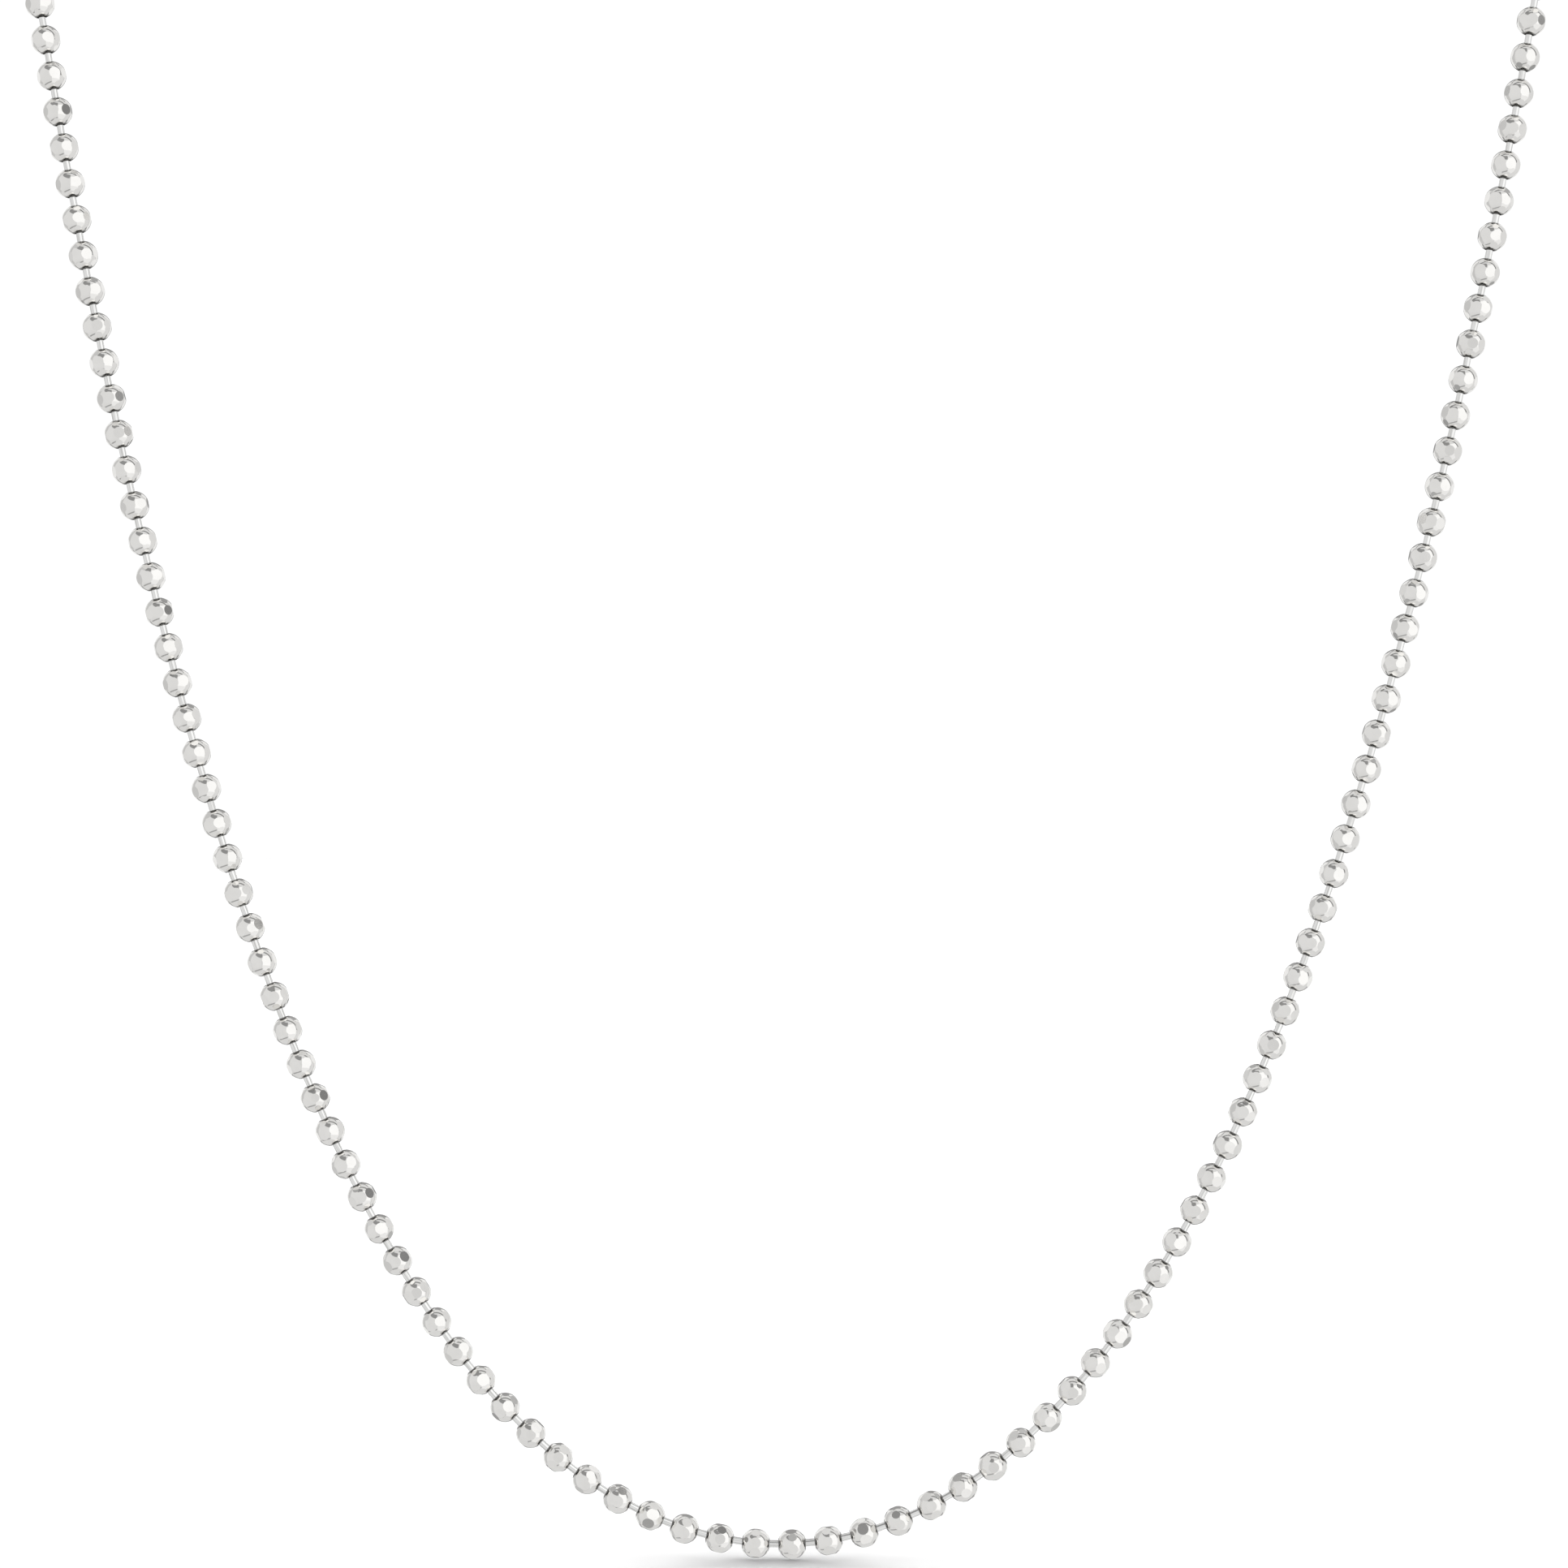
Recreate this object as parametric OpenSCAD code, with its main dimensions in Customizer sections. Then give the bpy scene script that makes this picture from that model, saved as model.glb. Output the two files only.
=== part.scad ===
// A ball chain necklace: hollow faceted beads held in a row by short pins, closed at the nape.
// The front hangs in one upright plane as a catenary, and the rest goes back round the neck.
// X runs to the wearer's left, -Y to the front and +Z up. The origin lies at the nape, in
// the middle of the coupling's inner face, where the chain rests on the neck.

/* [Beads] */
// Diameter of a bead before its facets are cut
bead_diameter = 2.5; // [2.2:0.1:2.8]
// Thickness of a bead's hollow wall
bead_wall = 0.3; // [0.25:0.05:0.4]
// Depth of the eight facets round a bead's middle
middle_facet_depth = 0.12; // [0.06:0.01:0.15]
// Depth of the four facets round each end of a bead
end_facet_depth = 0.07; // [0.03:0.01:0.12]

/* [Pins] */
// Diameter of the pin between two beads
pin_diameter = 0.6; // [0.5:0.05:0.7]
// Diameter of the round head that holds a pin inside its bead
pin_head_diameter = 1.2; // [1.1:0.05:1.3]
// Length of pin that shows between two beads
pin_length = 0.625; // [0.5:0.025:0.8]
// Clear room between a pin and the hole that it runs in
pin_clearance = 0.12; // [0.1:0.02:0.16]

/* [Drape] */
// Length of the whole chain
necklace_length = 508; // [496:2:540]
// Radius of the bend at the lowest point of the drape
drape_radius = 25.55; // [22:0.05:28]
// Height of the hanging stretch above the lowest bead
drape_height = 132; // [120:1:138]
// Height of the nape above the top of the hanging stretch
nape_rise = 24; // [18:1:30]
// How far the beads have slipped along the chain from an even split about the lowest point
chain_slip = 0.45; // [0:0.05:1]

/* [Coupling] */
// Thickness of the coupling's wall
coupling_wall = 0.3; // [0.25:0.05:0.4]
// Clear room between the coupling and the beads inside it
coupling_clearance = 0.2; // [0.15:0.05:0.3]
// Width of the slit that the end pins are pushed in through
coupling_slit = 1; // [0.9:0.1:1.2]

/* [Hidden] */
$fn = 32;

bead_radius = bead_diameter / 2;
cavity_radius = bead_radius - bead_wall;
pin_radius = pin_diameter / 2;
hole_radius = pin_radius + pin_clearance;
pitch = bead_diameter + pin_length;
bead_count = 2 * round(necklace_length / pitch / 2);
loop_length = bead_count * pitch;
pin_root = 0.7;
pin_start = pin_root * pin_head_diameter / 2;
pins_per_run = 10;
coupling_bore = bead_radius + coupling_clearance;
coupling_radius = coupling_bore + coupling_wall;
silver = [0.86, 0.86, 0.85];

// How a bead's facets are set out: in degrees about the chain, and up from its middle
middle_facets = 8;
end_slant = 45;
turn_step = 29;

// The front stretch is a catenary, measured along the chain from its lowest point
function drape_x(s) = let (u = s / drape_radius) drape_radius * ln(u + sqrt(u * u + 1));
function drape_z(s) = sqrt(drape_radius * drape_radius + s * s) - drape_radius;
drape_reach = sqrt(pow(drape_height + drape_radius, 2) - pow(drape_radius, 2));
shoulder = [drape_x(drape_reach), 0, drape_z(drape_reach)];
shoulder_slope = atan(drape_reach / drape_radius);
nape_length = loop_length / 2 - drape_reach;

// Each half of the hidden stretch is one smooth curve from the shoulder to the nape
shoulder_pull = 36;
nape_pull_share = 0.65;
nape_steps = 60;
function curve_ends(depth) = [
    shoulder,
    shoulder + shoulder_pull * [cos(shoulder_slope), 0, sin(shoulder_slope)],
    [nape_pull_share * shoulder.x, depth, shoulder.z + nape_rise],
    [0, depth, shoulder.z + nape_rise],
];
function curve_point(p, t) =
    pow(1 - t, 3) * p[0] + 3 * pow(1 - t, 2) * t * p[1]
    + 3 * (1 - t) * t * t * p[2] + t * t * t * p[3];
function curve_lengths(p, i = 0, sum = 0) =
    i == nape_steps ? [sum] : concat([sum], curve_lengths(p, i + 1,
        sum + norm(curve_point(p, (i + 1) / nape_steps) - curve_point(p, i / nape_steps))));
function curve_length(p) = curve_lengths(p)[nape_steps];

// The depth from the front to the nape is the one that uses up the length left over
least_depth = 5;
most_depth = 120;
halvings = 24;
function solve_depth(low, high, tries) =
    let (middle = (low + high) / 2)
    tries == 0 ? middle
        : curve_length(curve_ends(middle)) < nape_length ? solve_depth(middle, high, tries - 1)
        : solve_depth(low, middle, tries - 1);
nape_depth = solve_depth(least_depth, most_depth, halvings);
nape_curve = curve_ends(nape_depth);
nape_lengths = curve_lengths(nape_curve);
nape_table = [for (i = [0:nape_steps]) [nape_lengths[i], i / nape_steps]];

// Point of the chain's middle line at a distance along it from the lowest point
function half_route(s) =
    s <= drape_reach ? [drape_x(s), 0, drape_z(s)]
        : curve_point(nape_curve, lookup(s - drape_reach, nape_table));
function route(s) = let (p = half_route(abs(s))) s < 0 ? [-p.x, p.y, p.z] : p;

// Bead centres in order, from one side of the coupling round to the other
route_centres = [for (i = [0:bead_count - 1])
    route((i + 0.5) * pitch - loop_length / 2 - chain_slip)];
last = bead_count - 1;
nape = (route_centres[0] + route_centres[last]) / 2;
centres = [for (p = route_centres) p - nape + [0, coupling_radius, 0]];
function after(i) = centres[(i + 1) % bead_count];
function before(i) = centres[(i + last) % bead_count];
function bead_axis(i) = after(i) - before(i);

// Stands what is drawn along Z on a point, along a direction
module along(point, direction) {
    translate(point)
        rotate([0, acos(direction.z / norm(direction)), atan2(direction.y, direction.x)])
            children();
}

// A bead with its facets, before it is drilled
module faceted_ball(turn) {
    half_facet = 180 / middle_facets;
    middle_corner = (bead_radius - middle_facet_depth) / cos(half_facet);
    end_side = 2 * (bead_radius - end_facet_depth);
    rotate([0, 0, turn]) intersection() {
        rotate([0, 0, half_facet])
            cylinder(r = middle_corner, h = 2 * bead_diameter, center = true, $fn = middle_facets);
        rotate([end_slant, 0, 0])
            cube([2 * bead_diameter, end_side, end_side], center = true);
        rotate([0, end_slant, 0])
            cube([end_side, 2 * bead_diameter, end_side], center = true);
        sphere(r = bead_radius);
    }
}

module bead(i) {
    difference() {
        along(centres[i], bead_axis(i)) faceted_ball(i * turn_step);
        along(centres[i], bead_axis(i)) sphere(r = cavity_radius);
        along(centres[i], after(i) - centres[i]) cylinder(r = hole_radius, h = bead_diameter);
        along(centres[i], before(i) - centres[i]) cylinder(r = hole_radius, h = bead_diameter);
    }
}

// The half of the string on the wearer's right
module beads_right() {
    color(silver) for (i = [0:bead_count / 2 - 1]) bead(i);
}

// The half of the string on the wearer's left
module beads_left() {
    color(silver) for (i = [bead_count / 2:last]) bead(i);
}

module pin(i) {
    along(centres[i], after(i) - centres[i])
        translate([0, 0, pin_start]) cylinder(r = pin_radius, h = pitch - 2 * pin_start);
}

// Inside each bead, the heads of the pins on either side of it are one ball
module pin_head(i) {
    along(centres[i], bead_axis(i)) sphere(r = pin_head_diameter / 2);
}

// The row of pins, made up of short runs
module link_pins() {
    color(silver) for (first = [0:pins_per_run:last - 1]) {
        end = min(first + pins_per_run, last);
        union() {
            for (i = [first:end - 1]) pin(i);
            for (i = [first == 0 ? 0 : first + 1:end]) pin_head(i);
        }
    }
}

module capsule(radius) {
    cylinder(r = radius, h = pitch, center = true);
    for (side = [-1, 1]) translate([0, 0, side * pitch / 2]) sphere(r = radius);
}

// A sleeve round both end beads, open along its outer side
module coupling() {
    color(silver) along([0, coupling_radius, 0], centres[last] - centres[0]) difference() {
        capsule(coupling_radius);
        capsule(coupling_bore);
        cylinder(d = coupling_slit, h = 3 * pitch, center = true);
        translate([-coupling_slit / 2, 0, -1.5 * pitch])
            cube([coupling_slit, 2 * coupling_radius, 3 * pitch]);
    }
}

beads_right();
beads_left();
link_pins();
coupling();
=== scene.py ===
"""Looks of a ball chain necklace: faceted silver beads on short pins, in a long drape."""
import math
import random

import bmesh
import bpy
import numpy as np
from mathutils import Matrix, Vector


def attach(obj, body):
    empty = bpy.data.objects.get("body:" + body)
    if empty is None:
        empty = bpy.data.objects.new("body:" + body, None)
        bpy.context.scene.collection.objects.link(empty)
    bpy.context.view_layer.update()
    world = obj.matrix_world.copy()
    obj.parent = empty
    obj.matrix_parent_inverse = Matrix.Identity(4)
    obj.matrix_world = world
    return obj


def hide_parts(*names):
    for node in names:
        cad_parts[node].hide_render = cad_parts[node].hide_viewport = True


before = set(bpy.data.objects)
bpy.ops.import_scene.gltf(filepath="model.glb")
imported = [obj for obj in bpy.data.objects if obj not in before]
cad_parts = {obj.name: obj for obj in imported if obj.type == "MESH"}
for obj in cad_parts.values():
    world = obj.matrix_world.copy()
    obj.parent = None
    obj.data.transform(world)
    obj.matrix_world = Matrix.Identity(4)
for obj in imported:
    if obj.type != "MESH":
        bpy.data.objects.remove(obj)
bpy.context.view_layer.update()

MM = 0.001

# The chain's own sizes, in millimetres, as the solids have them
BEAD_RADIUS = 1.25
BEAD_WALL = 0.3
HOLE_RADIUS = 0.42
PIN_RADIUS = 0.3
PITCH = 3.125
BEAD_COUNT = 162
DRAPE_RADIUS = 25.55
DRAPE_HEIGHT = 132
NAPE_RISE = 24
SHOULDER_PULL = 36
NAPE_PULL_SHARE = 0.65
CHAIN_SLIP = 0.45
COUPLING_RADIUS = 1.75

# How the depth of the hidden stretch is found, in millimetres, as in the solids
CURVE_STEPS = 60
LEAST_DEPTH = 5.0
MOST_DEPTH = 120.0
HALVINGS = 24

# Facets round a bead's middle: depths in millimetres (least, most, usual), and play in degrees
MIDDLE_FACETS = 8
MIDDLE_DEPTH = (0.05, 0.12, 0.09)
MIDDLE_TURN_PLAY = 4
MIDDLE_TILT_PLAY = 3

# Facets round each end of a bead: depths (least, most), degrees up from the middle, and play in degrees
END_FACETS = 4
END_DEPTH = (0.015, 0.05)
END_LATITUDE = 44
END_TILT_PLAY = (-3, 2)
END_START_PLAY = 8
END_TURN_PLAY = 5

# Turn from each bead to the next, and its play, in degrees
TURN_STEP = 29
TURN_PLAY = 6

# Rounding of a bead's edges, and the width of a hole's lip, in millimetres
EDGE_ROUNDING = 0.04
LIP = 0.03

# How finely a bead is meshed, and how many beads are cut before the patterns come round again
BEAD_SEGMENTS = 40
BEAD_RINGS = 22
CAVITY_SEGMENTS = 12
CAVITY_RINGS = 4
BEAD_PATTERNS = 24
PATTERN_STEP = 7

# Pins in millimetres: a head's radius, its distance from the bead's centre, and the neck's length
PIN_HEAD_RADIUS = 0.46
PIN_HEAD_INSET = 0.47
PIN_NECK = 0.04

# How finely a pin is meshed, the flat share of a head's arc, and a pin's tilt in degrees
PIN_SEGMENTS = 16
PIN_HEAD_RINGS = 5
PIN_HEAD_FLAT = 0.04
PIN_TILT = 1.2

# Seeds of the small differences from bead to bead and from pin to pin
BEAD_SEED = 1000
PIN_SEED = 5000

# The beads' silver: its colours where bright and dull, and a dark for tarnish and painted shade at the
# holes
BRIGHT_SILVER = (0.957, 0.947, 0.925, 1)
DULL_SILVER = (0.887, 0.876, 0.853, 1)
HOLE_TARNISH_AND_SHADE = (0.13, 0.127, 0.12, 1)

# Roughness of its polish and of the holes' tarnish and painted shade, and how far a facet may go towards
# dull
POLISH = 0.06
TARNISH_ROUGHNESS = 0.34
FACET_DULLNESS = 0.3

# The silver of the sleeve and of the pins: bright and dull
SLEEVE_BRIGHT = (0.93, 0.93, 0.92, 1)
SLEEVE_DULL = (0.82, 0.815, 0.8, 1)
WIRE_BRIGHT = (0.94, 0.94, 0.93, 1)
WIRE_DULL = (0.72, 0.715, 0.7, 1)

# Depth of scratches and of the wire's lines, in metres
SCRATCH_DEPTH = 0.00001
WIRE_LINE_DEPTH = 0.00002

# The photograph in pixels: its width, the pitch of the beads, and the lowest point of the chain
PHOTO_SIDE = 1932
PHOTO_PITCH = 44.94
PHOTO_LOWEST = (960.0, 1902.9)

# Camera: its lean in degrees, lens and sensor in millimetres, and the nearest it sees in metres
PHOTO_LEAN = 0.275
LENS = 90
SENSOR = 36
CLIP_START = 0.01

# Floor: its gap under the lowest bead in millimetres, and half its width in metres
FLOOR_GAP = 0.08
FLOOR_REACH = 3.0

# Brightness of the room underfoot and elsewhere, the degrees up between which it changes, and the backdrop
UNDERFOOT = 0.715
ROOM = 0.748
UNDERFOOT_FADE = (-60.0, -20.0)
BACKDROP = 1.05

# Softboxes and cards: (from, to, soft edge) in degrees to the right and up, and how bright they are
MIDDLE_STRIPE = ((7.0, 9.0, 3.0), (-45.0, 40.0, 10.0), 0.66)
LOW_SOFTBOX = ((14.0, 80.0, 7.0), (-60.0, -20.0, 4.0), 0.88)
SOFTBOX = ((16.0, 74.0, 7.0), (-20.0, 46.0, 7.0), 1.04)
LEFT_CARD = ((-122.0, -102.0, 6.0), (-35.0, 55.0, 6.0), 0.58)

# The same behind the necklace, on both sides: degrees are counted from the front either way
BACK_CARD = ((129.0, 181.0, 2.0), (-38.0, 57.0, 4.0), 0.33)
BACK_SOFTBOX = ((132.0, 166.0, 2.0), (-26.0, 50.0, 3.0), 0.88)

# Card overhead: its reach across, where its point is, how its lower edge rises from there, and its top
TOP_CARD_ACROSS = (-82.0, 10.0, 5.0)
TOP_CARD_POINT = -6.0
TOP_CARD_RISE = 0.2
TOP_CARD_FOOT = (31.0, 37.0)
TOP_CARD_TOP = (64.0, 72.0)
TOP_CARD_LEVEL = 0.28

# Dark hoop round the side: how far forward, degrees round from the right, and how bright
HOOP = ((-0.01, 0.13, 0.04), (8.0, 122.0, 8.0), 0.22)

# Dark line low on the left: its width, its reach in degrees to the right, how bright, slope and drop
LOW_LINE = ((-0.03, 0.03, 0.02), (-100.0, 0.0, 24.0), 0.36)
LINE_SLOPE = 0.28
LINE_DROP = 0.47

# Light on the floor from the fan and from the sides: (where it starts, where it is full, least, most)
FLOOR_FAN = (0.75, 1.01, 0.05, 3.45)
FLOOR_SIDES = (0.6, 0.8, 0.0, 3.95)

# Which way the fan's middle lies, and a 1 raised a little so that the root it stands in is never 0
FAN_BACK = 0.979
FAN_UP = 0.202
JUST_OVER_ONE = 1.0001


# Route of the chain


def drape_point(s):
    """Point of the hanging front at a distance along it from the lowest point."""
    x = DRAPE_RADIUS * math.asinh(s / DRAPE_RADIUS)
    z = math.hypot(DRAPE_RADIUS, s) - DRAPE_RADIUS
    return Vector((x, 0, z))


DRAPE_REACH = math.sqrt((DRAPE_HEIGHT + DRAPE_RADIUS) ** 2 - DRAPE_RADIUS**2)
LOOP_LENGTH = BEAD_COUNT * PITCH


def curve_point(ends, t):
    """Point of the hidden stretch, which runs from the shoulder at 0 to the nape at 1."""
    shares = ((1 - t) ** 3, 3 * (1 - t) ** 2 * t, 3 * (1 - t) * t * t, t**3)
    return sum((k * p for k, p in zip(shares, ends)), Vector())


def nape_curve(depth):
    """The four points that set the hidden stretch at a depth, and the lengths to its samples."""
    shoulder = drape_point(DRAPE_REACH)
    slope = math.atan2(DRAPE_REACH, DRAPE_RADIUS)
    pull = SHOULDER_PULL * Vector((math.cos(slope), 0, math.sin(slope)))
    nape_z = shoulder.z + NAPE_RISE
    ends = (
        shoulder,
        shoulder + pull,
        Vector((NAPE_PULL_SHARE * shoulder.x, depth, nape_z)),
        Vector((0, depth, nape_z)),
    )
    points = [curve_point(ends, i / CURVE_STEPS) for i in range(CURVE_STEPS + 1)]
    lengths = [0.0]
    for a, b in zip(points, points[1:]):
        lengths.append(lengths[-1] + (b - a).length)
    return ends, lengths


def solve_depth():
    """Depth from the front to the nape that uses up the chain's length."""
    wanted = LOOP_LENGTH / 2 - DRAPE_REACH
    low, high = LEAST_DEPTH, MOST_DEPTH
    for _ in range(HALVINGS):
        middle = (low + high) / 2
        if nape_curve(middle)[1][-1] < wanted:
            low = middle
        else:
            high = middle
    return (low + high) / 2


NAPE_ENDS, NAPE_LENGTHS = nape_curve(solve_depth())


def route(s):
    """Point of the chain's middle line at a distance from the lowest point, both ways."""
    reach = abs(s)
    if reach <= DRAPE_REACH:
        point = drape_point(reach)
    else:
        steps = np.linspace(0, 1, CURVE_STEPS + 1)
        t = float(np.interp(reach - DRAPE_REACH, NAPE_LENGTHS, steps))
        point = curve_point(NAPE_ENDS, t)
    if s < 0:
        point.x = -point.x
    return point


def bead_centres():
    """Bead centres in millimetres, from one side of the coupling to the other, and the nape."""
    starts = [(i + 0.5) * PITCH - LOOP_LENGTH / 2 - CHAIN_SLIP for i in range(BEAD_COUNT)]
    centres = [route(s) for s in starts]
    nape = (centres[0] + centres[-1]) / 2
    return [c - nape + Vector((0, COUPLING_RADIUS, 0)) for c in centres], nape


CENTRES, NAPE = bead_centres()


def chain_axis(i):
    """Direction of the chain at a bead."""
    after, before = CENTRES[(i + 1) % BEAD_COUNT], CENTRES[i - 1]
    return (after - before).normalized()


def along(direction):
    """Rotation that stands what is drawn along Z along a direction, as the solids have it."""
    polar = math.acos(max(-1.0, min(1.0, direction.z)))
    heading = math.atan2(direction.y, direction.x)
    return Matrix.Rotation(heading, 3, "Z") @ Matrix.Rotation(polar, 3, "Y")


# Shapes


def arc(radius, first, count):
    """(radius, height) down a ball from near its top to near its bottom."""
    polars = [first + (math.pi - 2 * first) * k / count for k in range(count + 1)]
    return [(radius * math.sin(p), radius * math.cos(p)) for p in polars]


def lathe(bm, profile, segments):
    """Rings of points round Z, joined in order. The profile is a list of (radius, height)."""
    rings = []
    for radius, height in profile:
        ring = []
        for k in range(segments):
            a = 2 * math.pi * k / segments
            ring.append(bm.verts.new((radius * math.cos(a), radius * math.sin(a), height)))
        rings.append(ring)
    for low, high in zip(rings, rings[1:]):
        for k in range(segments):
            j = (k + 1) % segments
            bm.faces.new((low[k], high[k], high[j], low[j]))


def facet_planes(rng):
    """(normal, distance from the centre) of each flat facet of one bead, cut a little off true."""
    planes = []
    for k in range(MIDDLE_FACETS):
        play = rng.uniform(-MIDDLE_TURN_PLAY, MIDDLE_TURN_PLAY)
        turn = math.radians(k * 360 / MIDDLE_FACETS + play)
        lift = math.radians(rng.uniform(-MIDDLE_TILT_PLAY, MIDDLE_TILT_PLAY))
        depth = rng.triangular(*MIDDLE_DEPTH)
        planes.append((turn, lift, BEAD_RADIUS - depth))
    for end in (-1, 1):
        start = rng.uniform(-END_START_PLAY, END_START_PLAY)
        for k in range(END_FACETS):
            play = rng.uniform(-END_TURN_PLAY, END_TURN_PLAY)
            turn = math.radians(start + k * 360 / END_FACETS + play)
            lift = math.radians(end * (END_LATITUDE + rng.uniform(*END_TILT_PLAY)))
            depth = rng.uniform(*END_DEPTH)
            planes.append((turn, lift, BEAD_RADIUS - depth))
    return [
        (
            Vector((math.cos(t) * math.cos(e), math.sin(t) * math.cos(e), math.sin(e))),
            reach,
        )
        for t, e, reach in planes
    ]


def bead_pattern(rng):
    """One cut bead round Z: points, faces, a normal for each corner, and a tone for each face."""
    bm = bmesh.new()
    first = math.asin((HOLE_RADIUS + LIP) / BEAD_RADIUS)
    top = BEAD_RADIUS * math.cos(first)
    cavity_radius = BEAD_RADIUS - BEAD_WALL
    lip = [
        (HOLE_RADIUS, math.sqrt(cavity_radius**2 - HOLE_RADIUS**2)),
        (HOLE_RADIUS, top - 1.4 * LIP),
        (HOLE_RADIUS + 0.3 * LIP, top - 0.4 * LIP),
    ]
    lower_lip = [(r, -z) for r, z in reversed(lip)]
    lathe(bm, lip + arc(BEAD_RADIUS, first, BEAD_RINGS) + lower_lip, BEAD_SEGMENTS)
    planes = facet_planes(rng)
    for mark, (normal, reach) in enumerate(planes, 1):
        everything = bm.verts[:] + bm.edges[:] + bm.faces[:]
        cut = bmesh.ops.bisect_plane(
            bm, geom=everything, plane_co=normal * reach, plane_no=normal, clear_outer=True, dist=1e-6
        )
        rim = [e for e in cut["geom_cut"] if isinstance(e, bmesh.types.BMEdge)]
        for face in bmesh.ops.contextual_create(bm, geom=rim)["faces"]:
            face.material_index = mark
    cavity = arc(cavity_radius, math.asin(HOLE_RADIUS / cavity_radius), CAVITY_RINGS)
    lathe(bm, cavity[::-1], CAVITY_SEGMENTS)
    bm.verts.index_update()
    tones = [rng.random() for _ in range(len(planes) + 1)]
    faces, normals, tone = [], [], []
    for f in bm.faces:
        mark = f.material_index
        faces.append([v.index for v in f.verts])
        tone.append(tones[mark])
        for v in f.verts:
            normals.append(planes[mark - 1][0] if mark else round_normal(v.co))
    points = np.array([v.co for v in bm.verts])
    bm.free()
    return points, faces, np.array(normals), np.array(tone)


def round_normal(co):
    """Normal of a bead where no facet is cut: the ball, the lip of a hole, its bore or the cavity."""
    ring = math.hypot(co.x, co.y)
    if co.length < BEAD_RADIUS - 0.9 * BEAD_WALL:
        return -co.normalized()
    if ring < HOLE_RADIUS + 0.5 * LIP:
        inward = Vector((-co.x, -co.y, 0)).normalized()
        outward = 1.0 if ring > HOLE_RADIUS + 0.1 * LIP else 0.0
        return (inward + outward * Vector((0, 0, math.copysign(1, co.z)))).normalized()
    return co.normalized()


def join(parts, name):
    """One object from many (points, faces, corner normals, tone of each face, own places), in mm.

    A part's own places are its points before it was put on the chain, for its material to read.
    """
    faces, start = [], 0
    for p in parts:
        faces.extend([[start + v for v in face] for face in p[1]])
        start += len(p[0])
    mesh = bpy.data.meshes.new(name)
    mesh.from_pydata((np.concatenate([p[0] for p in parts]) * MM).tolist(), [], faces)
    mesh.polygons.foreach_set("use_smooth", [True] * len(mesh.polygons))
    tone = mesh.attributes.new("tone", "FLOAT", "FACE")
    tone.data.foreach_set("value", np.concatenate([p[3] for p in parts]))
    place = mesh.attributes.new("place", "FLOAT_VECTOR", "POINT")
    place.data.foreach_set("vector", np.concatenate([p[4] for p in parts]).ravel())
    mesh.normals_split_custom_set(np.concatenate([p[2] for p in parts]).tolist())
    obj = bpy.data.objects.new(name, mesh)
    bpy.context.scene.collection.objects.link(obj)
    return obj


def beads(name, first, end, patterns):
    """The beads from first up to end as one piece."""
    parts = []
    for i in range(first, end):
        rng = random.Random(BEAD_SEED + i)
        points, faces, normals, tone = patterns[(i * PATTERN_STEP) % len(patterns)]
        angle = math.radians(i * TURN_STEP + rng.uniform(-TURN_PLAY, TURN_PLAY))
        turned = np.array(along(chain_axis(i)) @ Matrix.Rotation(angle, 3, "Z"))
        placed = points @ turned.T + np.array(CENTRES[i])
        parts.append((placed, faces, normals @ turned.T, tone, points))
    return join(parts, name)


def pin_profile():
    """(radius, distance from the pin's middle, slope of the normal) of a pin with a head at each end."""
    head = PITCH / 2 - PIN_HEAD_INSET
    neck = math.sqrt(PIN_HEAD_RADIUS**2 - PIN_RADIUS**2)
    wrap = 1 - math.asin(PIN_RADIUS / PIN_HEAD_RADIUS) / math.pi
    profile = []
    for k in range(PIN_HEAD_RINGS + 1):
        polar = math.pi * (PIN_HEAD_FLAT + (1 - PIN_HEAD_FLAT) * k / PIN_HEAD_RINGS) * wrap
        out, rise = math.sin(polar), math.cos(polar)
        profile.append((PIN_HEAD_RADIUS * out, head + PIN_HEAD_RADIUS * rise, rise))
    profile += [(PIN_RADIUS, head - neck - PIN_NECK, 0.0), (PIN_RADIUS, 0.0, 0.0)]
    return profile + [(r, -z, -slope) for r, z, slope in reversed(profile[:-1])]


def pin_faces(rings):
    """Faces of a pin whose points lie ring by ring, with a flat face at each end."""
    faces = []
    for ring in range(rings - 1):
        low, high = ring * PIN_SEGMENTS, (ring + 1) * PIN_SEGMENTS
        for k in range(PIN_SEGMENTS):
            j = (k + 1) % PIN_SEGMENTS
            faces.append([low + k, high + k, high + j, low + j])
    last_ring = (rings - 1) * PIN_SEGMENTS
    faces.append(list(range(PIN_SEGMENTS)))
    faces.append([last_ring + PIN_SEGMENTS - 1 - k for k in range(PIN_SEGMENTS)])
    return faces


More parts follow.
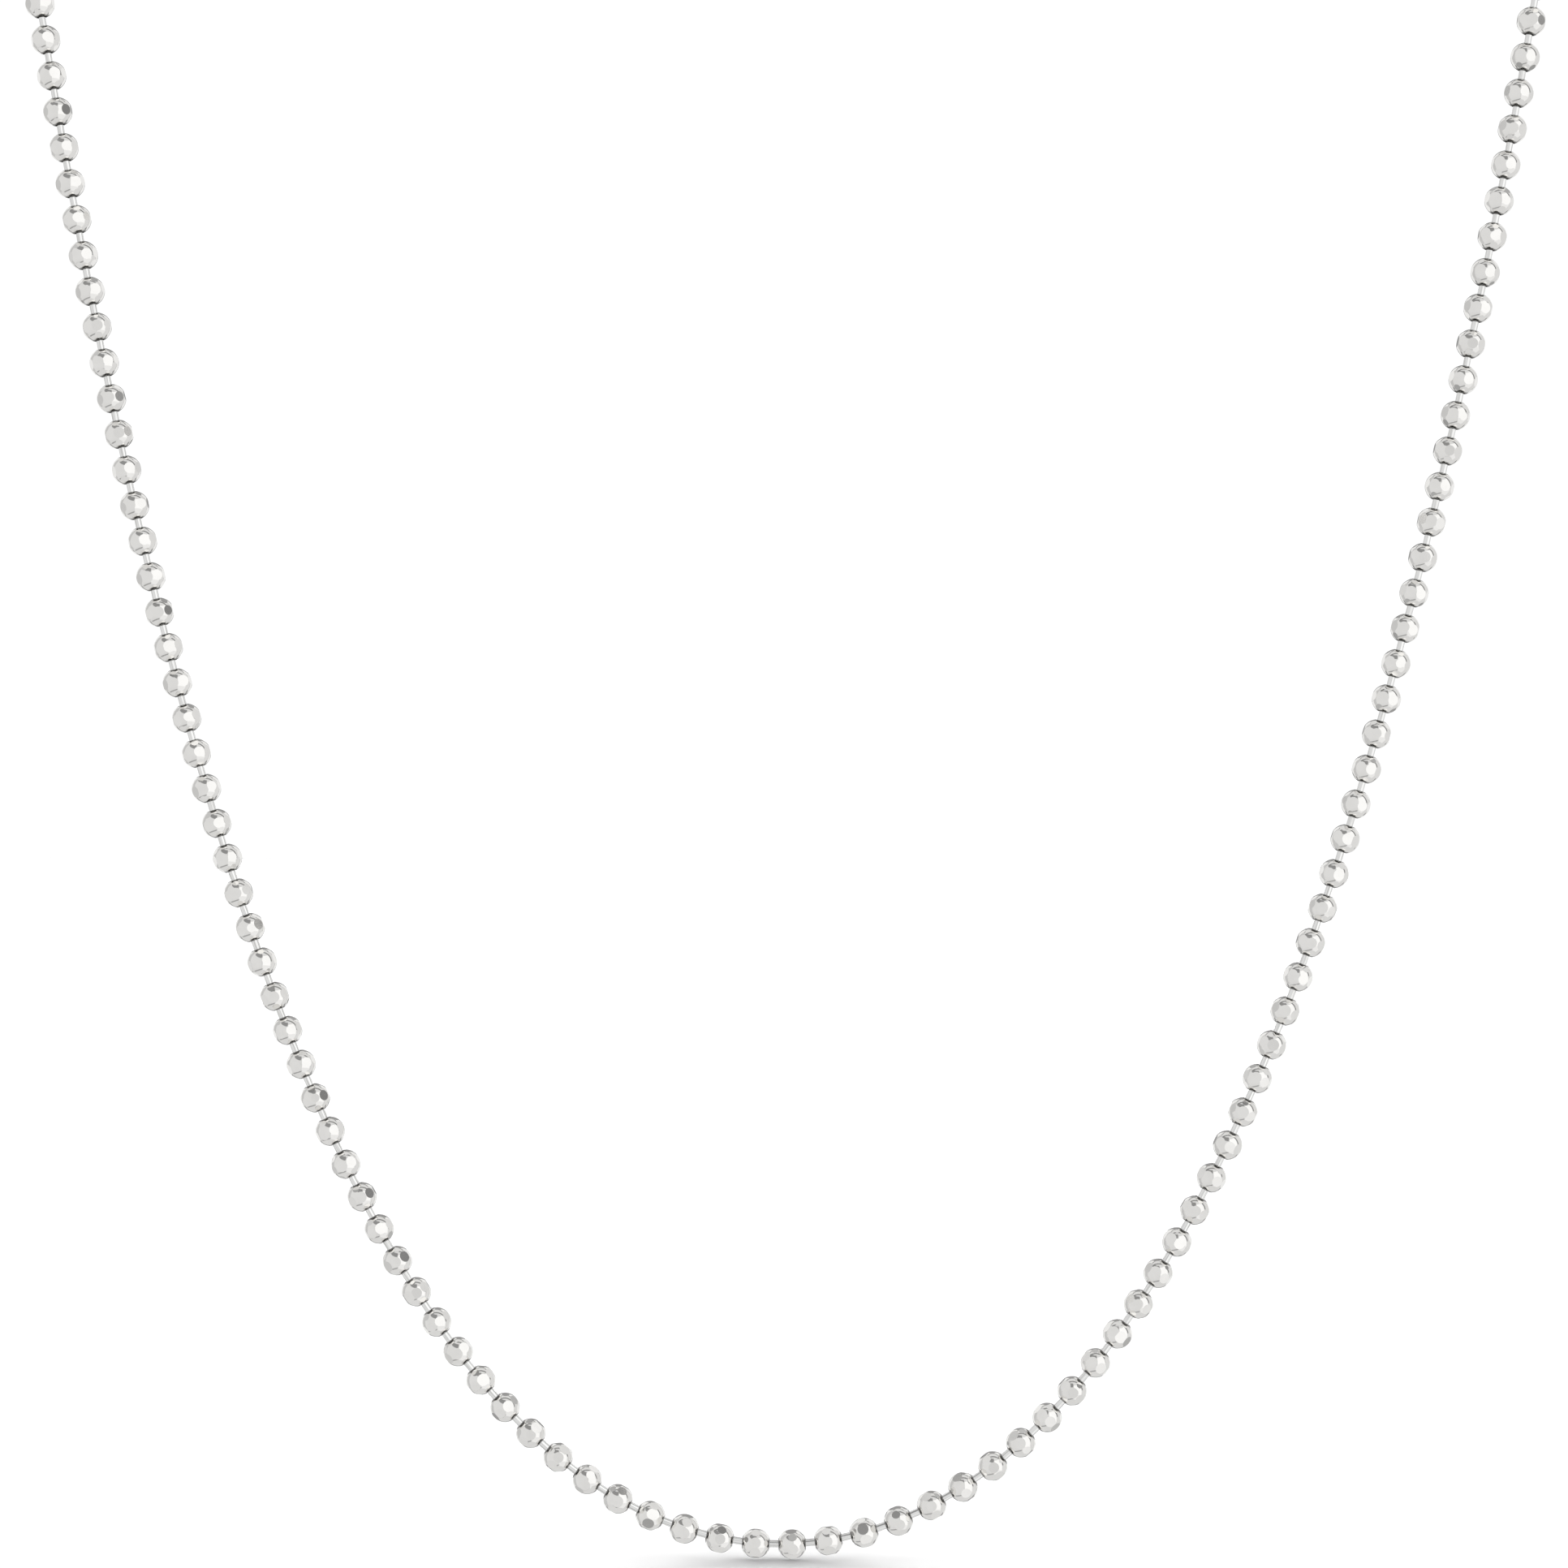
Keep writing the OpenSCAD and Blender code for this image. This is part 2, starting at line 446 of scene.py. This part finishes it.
def link_pins():
    """The short pins between neighbouring beads, each a little off its true line."""
    profile = pin_profile()
    faces = pin_faces(len(profile))
    parts = []
    for i in range(BEAD_COUNT - 1):
        rng = random.Random(PIN_SEED + i)
        a, b = CENTRES[i], CENTRES[i + 1]
        tilt = Matrix.Rotation(math.radians(rng.uniform(-PIN_TILT, PIN_TILT)), 3, "X")
        tilt = tilt @ Matrix.Rotation(math.radians(rng.uniform(-PIN_TILT, PIN_TILT)), 3, "Y")
        turn = Matrix.Rotation(rng.uniform(0, math.tau), 3, "Z")
        turned = along((b - a).normalized()) @ tilt @ turn
        points, normals, places = [], [], []
        for radius, z, slope in profile:
            for k in range(PIN_SEGMENTS):
                angle = math.tau * k / PIN_SEGMENTS
                across = Vector((math.cos(angle), math.sin(angle), 0))
                normal = across * math.sqrt(1 - slope * slope) + Vector((0, 0, slope))
                places.append(radius * across + Vector((0, 0, z)))
                points.append(turned @ places[-1] + (a + b) / 2)
                normals.append(turned @ normal)
        corners = np.array([normals[v] for face in faces for v in face])
        tone = np.full(len(faces), rng.random())
        parts.append((np.array(points), faces, corners, tone, np.array(places)))
    return join(parts, "pins")


# Materials


class Nodes:
    """Adds nodes to a tree and joins them in one call each."""

    def __init__(self, tree):
        self.tree = tree
        tree.nodes.clear()

    def add(self, kind, inputs=(), **settings):
        node = self.tree.nodes.new(kind)
        for name, value in settings.items():
            setattr(node, name, value)
        for socket, value in dict(inputs).items():
            if isinstance(value, bpy.types.NodeSocket):
                self.tree.links.new(value, node.inputs[socket])
            else:
                node.inputs[socket].default_value = value
        return node

    def math(self, operation, a, b=0.0):
        return self.add("ShaderNodeMath", {0: a, 1: b}, operation=operation).outputs[0]

    def times(self, a, b):
        return self.math("MULTIPLY", a, b)

    def ramp(self, value, low, high, start=0.0, end=1.0):
        inputs = {"Value": value, "From Min": low, "From Max": high, "To Min": start, "To Max": end}
        return self.add("ShaderNodeMapRange", inputs, interpolation_type="SMOOTHSTEP").outputs["Result"]

    def noise(self, vector, scale, detail):
        inputs = {"Vector": vector, "Scale": scale, "Detail": detail}
        return self.add("ShaderNodeTexNoise", inputs).outputs["Fac"]

    def stretch(self, vector, scale):
        return self.add("ShaderNodeMapping", {"Vector": vector, "Scale": scale}).outputs["Vector"]

    def attribute(self, name, output):
        return self.add("ShaderNodeAttribute", attribute_name=name).outputs[output]

    def mix(self, share, a, b):
        return self.add("ShaderNodeMix", {0: share, 2: a, 3: b}).outputs[0]

    def mix_colour(self, share, a, b):
        return self.add("ShaderNodeMix", {0: share, 6: a, 7: b}, data_type="RGBA").outputs[2]


def new_material(name):
    """A material, and what adds nodes to it."""
    material = bpy.data.materials.new(name)
    material.use_nodes = True
    return material, Nodes(material.node_tree)


def metal(n, colour, rough, height, strength, depth, edges=None):
    """The metal's shader, with its colour and roughness, and a bump from a height."""
    inputs = {"Strength": strength, "Distance": depth, "Height": height}
    if edges:
        inputs["Normal"] = edges
    bump = n.add("ShaderNodeBump", inputs).outputs["Normal"]
    shader = n.add(
        "ShaderNodeBsdfPrincipled",
        {"Base Color": colour, "Metallic": 1.0, "Roughness": rough, "Normal": bump},
    )
    n.add("ShaderNodeOutputMaterial", {"Surface": shader.outputs["BSDF"]})


def polished_silver(name):
    """Polished silver: fine scratches and haze, facets that differ a little, and tarnish and painted shade
    at the holes.
    """
    material, n = new_material(name)
    place = n.add("ShaderNodeTexCoord").outputs["Object"]
    haze = n.noise(place, 900.0, 3.0)
    fine = n.noise(place, 6000.0, 4.0)
    own = n.attribute("place", "Vector")
    reach = n.add("ShaderNodeVectorMath", {0: own}, operation="LENGTH").outputs["Value"]
    rise = n.math("ABSOLUTE", n.add("ShaderNodeSeparateXYZ", {0: own}).outputs[2])
    # Tarnish and painted shade: the colour goes dark near each hole's mouth and all through the cavity,
    # where the pins and the lip shade it
    near_hole = n.ramp(n.math("DIVIDE", rise, reach), 0.83, 0.92)
    inside = n.ramp(reach, BEAD_RADIUS - 0.9 * BEAD_WALL, BEAD_RADIUS - 0.6 * BEAD_WALL, 1.0, 0.0)
    mouth = n.math("MAXIMUM", near_hole, inside)
    worn = n.mix_colour(n.ramp(haze, 0.35, 0.75, 0.0, 0.5), BRIGHT_SILVER, DULL_SILVER)
    worn = n.mix_colour(n.times(n.attribute("tone", "Fac"), FACET_DULLNESS), worn, DULL_SILVER)
    tarnish_and_shade = n.times(mouth, n.ramp(fine, 0.2, 0.8, 0.8, 1.0))
    base = n.mix_colour(tarnish_and_shade, worn, HOLE_TARNISH_AND_SHADE)
    rough = n.mix(haze, POLISH * 0.7, POLISH * 1.5)
    rough = n.mix(tarnish_and_shade, rough, TARNISH_ROUGHNESS)
    edges = n.add("ShaderNodeBevel", {"Radius": EDGE_ROUNDING * MM}, samples=4).outputs["Normal"]
    metal(n, base, rough, fine, 0.05, SCRATCH_DEPTH, edges)
    return material


def plain_silver(name):
    """Sleeve of the same silver, brushed a little duller, with haze and scratches."""
    material, n = new_material(name)
    place = n.add("ShaderNodeTexCoord").outputs["Object"]
    haze = n.noise(place, 700.0, 3.0)
    brushed = n.noise(n.stretch(place, (300.0, 6000.0, 6000.0)), 1.0, 3.0)
    base = n.mix_colour(n.ramp(haze, 0.35, 0.75), SLEEVE_BRIGHT, SLEEVE_DULL)
    metal(n, base, n.ramp(brushed, 0.3, 0.7, 0.12, 0.26), brushed, 0.15, SCRATCH_DEPTH)
    return material


def drawn_wire(name):
    """Silver wire with faint lines along it from drawing."""
    material, n = new_material(name)
    stretched = n.stretch(n.attribute("place", "Vector"), (9.0, 9.0, 0.4))
    own_lines = n.times(n.attribute("tone", "Fac"), 40.0)
    lines = n.add(
        "ShaderNodeTexNoise",
        {"Vector": stretched, "W": own_lines, "Scale": 1.0, "Detail": 2.0},
        noise_dimensions="4D",
    ).outputs["Fac"]
    base = n.mix_colour(n.ramp(lines, 0.45, 0.75), WIRE_BRIGHT, WIRE_DULL)
    metal(n, base, n.ramp(lines, 0.3, 0.7, 0.09, 0.2), lines, 0.06, WIRE_LINE_DEPTH)
    return material


# Stage


def degrees(n, radians):
    """An angle in degrees."""
    return n.times(radians, 180 / math.pi)


def band(n, value, low, high, soft):
    """1 between low and high, falling to 0 over the soft edge on each side."""
    return n.times(n.ramp(value, low - soft, low), n.ramp(value, high, high + soft, 1.0, 0.0))


def panel(n, light, across, upright, shape):
    """The light with one softbox or card put in, where both measures lie in the bands of its shape."""
    across_band, upright_band, level = shape
    inside = n.times(band(n, across, *across_band), band(n, upright, *upright_band))
    return n.mix(inside, light, level)


def reflected_room(n, right, front, up):
    """What the metal reflects, by direction: a pale room with softboxes and dark cards."""
    azimuth = degrees(n, n.math("ARCTAN2", right, front))
    height = degrees(n, n.math("ARCSINE", up))
    light = n.mix(n.ramp(height, *UNDERFOOT_FADE), UNDERFOOT, ROOM)
    spread = n.times(n.math("ABSOLUTE", n.math("ADD", azimuth, -TOP_CARD_POINT)), TOP_CARD_RISE)
    pointed = n.ramp(n.math("SUBTRACT", height, spread), *TOP_CARD_FOOT)
    wedge = n.times(pointed, band(n, azimuth, *TOP_CARD_ACROSS))
    light = n.mix(n.times(wedge, n.ramp(height, *TOP_CARD_TOP, 1.0, 0.0)), light, TOP_CARD_LEVEL)
    for shape in (MIDDLE_STRIPE, LOW_SOFTBOX, SOFTBOX):
        light = panel(n, light, azimuth, height, shape)
    around = degrees(n, n.math("ARCTAN2", up, right))
    light = panel(n, light, front, around, HOOP)

    # Divided by this length, a direction gives its place on a ball that is seen from the front
    half = n.math("SQRT", n.math("ADD", n.times(front, 2.0), 2.0))
    tilt = n.math("ADD", up, n.times(right, -LINE_SLOPE))
    line = n.math("ADD", n.math("DIVIDE", tilt, half), LINE_DROP)
    light = panel(n, light, line, azimuth, LOW_LINE)
    light = panel(n, light, azimuth, height, LEFT_CARD)
    aside = n.math("ABSOLUTE", azimuth)
    light = panel(n, light, aside, height, BACK_CARD)
    return panel(n, light, aside, height, BACK_SOFTBOX)


def floor_light(n, right, back, up):
    """What lights the floor: a fan of light low behind the necklace, and light from both sides."""
    from_behind = n.math("ADD", n.times(back, FAN_BACK), n.times(up, FAN_UP))
    across = n.math("SQRT", n.math("SUBTRACT", JUST_OVER_ONE, n.times(right, right)))
    fan = n.ramp(n.math("DIVIDE", from_behind, across), *FLOOR_FAN)
    sides = n.ramp(n.math("ABSOLUTE", right), *FLOOR_SIDES)
    return n.math("ADD", fan, sides)


def studio():
    """Light from all round, of which the metal, the floor and the camera each see their own part."""
    world = bpy.data.worlds.new("studio")
    bpy.context.scene.world = world
    world.use_nodes = True
    world.cycles.sampling_method = "NONE"
    n = Nodes(world.node_tree)
    way = n.add("ShaderNodeTexCoord").outputs["Generated"]
    right, back, up = n.add("ShaderNodeSeparateXYZ", {0: way}).outputs
    light = reflected_room(n, right, n.times(back, -1.0), up)
    path = n.add("ShaderNodeLightPath").outputs
    from_floor = n.times(path["Is Glossy Ray"], n.math("MINIMUM", path["Diffuse Depth"], 1.0))
    light = n.mix(from_floor, light, 0.0)
    light = n.mix(path["Is Diffuse Ray"], light, floor_light(n, right, back, up))
    light = n.mix(path["Is Camera Ray"], light, BACKDROP)
    background = n.add("ShaderNodeBackground", {"Strength": light, "Color": (1, 1, 1, 1)})
    n.add("ShaderNodeOutputWorld", {"Surface": background.outputs[0]})


def pale_floor(z):
    """A wide white floor just under the lowest bead."""
    mesh = bpy.data.meshes.new("floor")
    corners = [(x * FLOOR_REACH, y * FLOOR_REACH, z) for x, y in ((-1, -1), (1, -1), (1, 1), (-1, 1))]
    mesh.from_pydata(corners, [], [(0, 1, 2, 3)])
    floor = bpy.data.objects.new("floor", mesh)
    bpy.context.scene.collection.objects.link(floor)
    material, n = new_material("pale_floor")
    shader = n.add(
        "ShaderNodeBsdfPrincipled",
        {"Base Color": (0.95, 0.95, 0.95, 1), "Roughness": 0.9, "Specular IOR Level": 0.0},
    )
    n.add("ShaderNodeOutputMaterial", {"Surface": shader.outputs["BSDF"]})
    mesh.materials.append(material)
    floor.visible_glossy = False


def photo_camera():
    """A level camera square to the drape, with the photograph's small lean."""
    pixel = PITCH * MM / PHOTO_PITCH
    lean = math.radians(PHOTO_LEAN)
    right = Vector((math.cos(lean), 0, math.sin(lean)))
    up = Vector((-math.sin(lean), 0, math.cos(lean)))
    away = right.cross(up)
    lowest = MM * (Vector((0, COUPLING_RADIUS, 0)) - NAPE)
    aside = (PHOTO_SIDE / 2 - PHOTO_LOWEST[0]) * right
    above = (PHOTO_LOWEST[1] - PHOTO_SIDE / 2) * up
    middle = lowest + pixel * (aside + above)
    distance = pixel * PHOTO_SIDE * LENS / SENSOR
    data = bpy.data.cameras.new("camera")
    data.lens, data.sensor_width = LENS, SENSOR
    data.clip_start = CLIP_START
    camera = bpy.data.objects.new("camera", data)
    turned = Matrix((right, up, away)).transposed().to_4x4()
    camera.matrix_world = Matrix.Translation(middle + away * distance) @ turned
    bpy.context.scene.collection.objects.link(camera)
    bpy.context.scene.camera = camera


bpy.context.scene.view_settings.view_transform = "Standard"
photo_camera()
studio()

bead_silver = polished_silver("bead_silver")
coupling_silver = plain_silver("coupling_silver")
pin_silver = drawn_wire("pin_silver")

bead_patterns = [bead_pattern(random.Random(k)) for k in range(BEAD_PATTERNS)]
half_way = BEAD_COUNT // 2
for node_name, first, end in (("beads_right", 0, half_way), ("beads_left", half_way, BEAD_COUNT)):
    piece = beads("cut_" + node_name, first, end, bead_patterns)
    piece.data.materials.append(bead_silver)
    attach(piece, "root")
    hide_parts(node_name)

pins = link_pins()
pins.data.materials.append(pin_silver)
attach(pins, "root")
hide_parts("link_pins")

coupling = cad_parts["coupling"]
coupling.data.materials.clear()
coupling.data.materials.append(coupling_silver)

lowest_z = min(c.z for c in CENTRES) * MM - BEAD_RADIUS * MM
pale_floor(lowest_z - FLOOR_GAP * MM)
